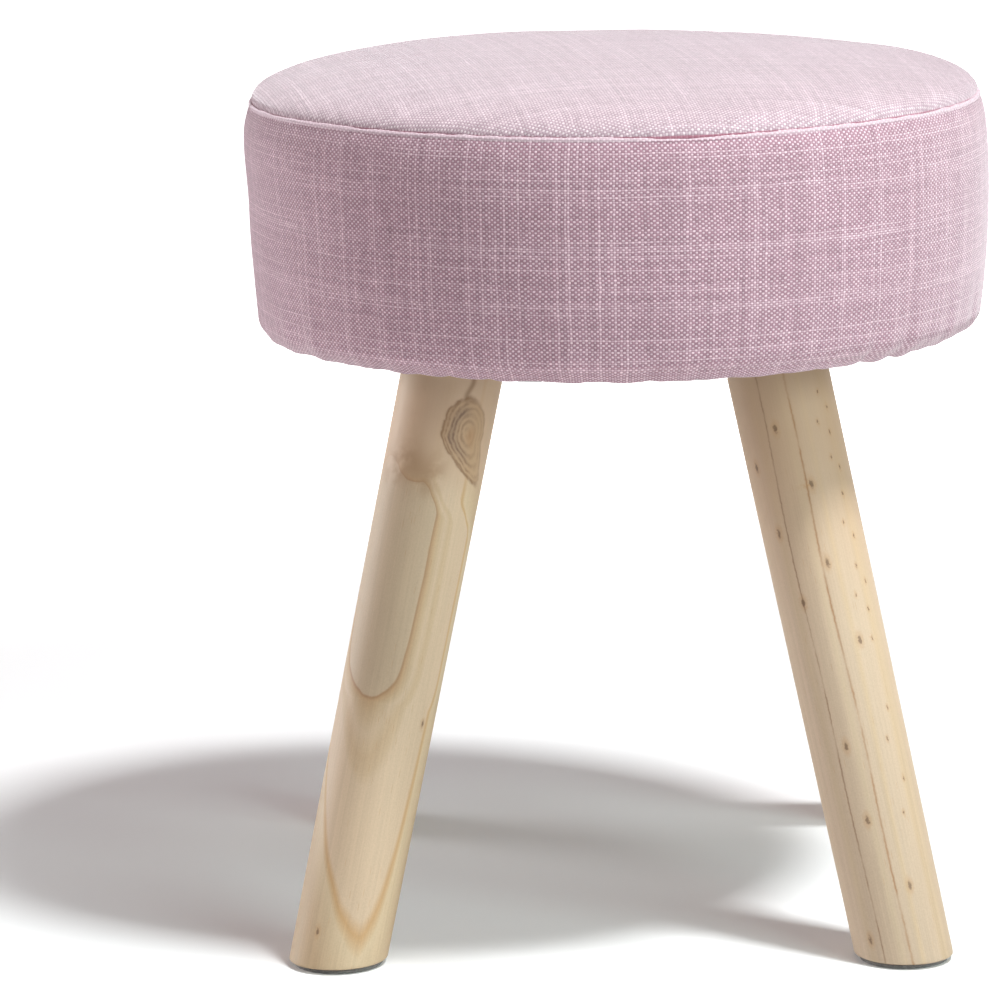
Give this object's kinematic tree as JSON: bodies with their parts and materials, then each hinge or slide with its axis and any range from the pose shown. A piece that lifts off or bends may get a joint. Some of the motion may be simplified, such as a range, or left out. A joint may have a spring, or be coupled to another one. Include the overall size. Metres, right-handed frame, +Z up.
{
  "type": "round padded footstool",
  "caption": "Low round padded stool with a two-panel cloth cover, domed top and splayed round pine legs on tilted steel plates.",
  "frame": {"origin": "on the floor under the middle of the seat", "axes": "+Z up, front towards -Y, +X to the right when seen from the front"},
  "size_m": [0.3242, 0.3242, 0.378],
  "materials": {
    "cover_cloth": "plain-woven linen-look polyester, dusty pink, with slubs",
    "wadding": "soft white wadding",
    "foam": "open-cell foam",
    "board": "bare plywood",
    "dust_cloth": "black spunbonded cloth",
    "pine": "sanded, unfinished pine",
    "zinc_steel": "zinc-plated steel",
    "felt": "grey pressed felt"
  },
  "bodies": {
    "root": {"cover_top_panel": "cover_cloth", "cover_side_band": "cover_cloth", "wadding": "wadding", "foam_pad": "foam", "seat_board": "board", "dust_cover": "dust_cloth", "leg_back_right": "pine", "leg_back_left": "pine", "leg_front_left": "pine", "leg_front_right": "pine", "hanger_bolt_back_right": "zinc_steel", "hanger_bolt_back_left": "zinc_steel", "hanger_bolt_front_left": "zinc_steel", "hanger_bolt_front_right": "zinc_steel", "leg_plate_back_right": "zinc_steel", "leg_plate_back_left": "zinc_steel", "leg_plate_front_left": "zinc_steel", "leg_plate_front_right": "zinc_steel", "plate_screw_back_right_1": "zinc_steel", "plate_screw_back_right_2": "zinc_steel", "plate_screw_back_right_3": "zinc_steel", "plate_screw_back_right_4": "zinc_steel", "plate_screw_back_left_1": "zinc_steel", "plate_screw_back_left_2": "zinc_steel", "plate_screw_back_left_3": "zinc_steel", "plate_screw_back_left_4": "zinc_steel", "plate_screw_front_left_1": "zinc_steel", "plate_screw_front_left_2": "zinc_steel", "plate_screw_front_left_3": "zinc_steel", "plate_screw_front_left_4": "zinc_steel", "plate_screw_front_right_1": "zinc_steel", "plate_screw_front_right_2": "zinc_steel", "plate_screw_front_right_3": "zinc_steel", "plate_screw_front_right_4": "zinc_steel", "foot_pad_back_right": "felt", "foot_pad_back_left": "felt", "foot_pad_front_left": "felt", "foot_pad_front_right": "felt", "staple_1": "zinc_steel", "staple_2": "zinc_steel", "staple_3": "zinc_steel", "staple_4": "zinc_steel", "staple_5": "zinc_steel", "staple_6": "zinc_steel", "staple_7": "zinc_steel", "staple_8": "zinc_steel", "staple_9": "zinc_steel", "staple_10": "zinc_steel", "staple_11": "zinc_steel", "staple_12": "zinc_steel"}
  },
  "joints": []
}
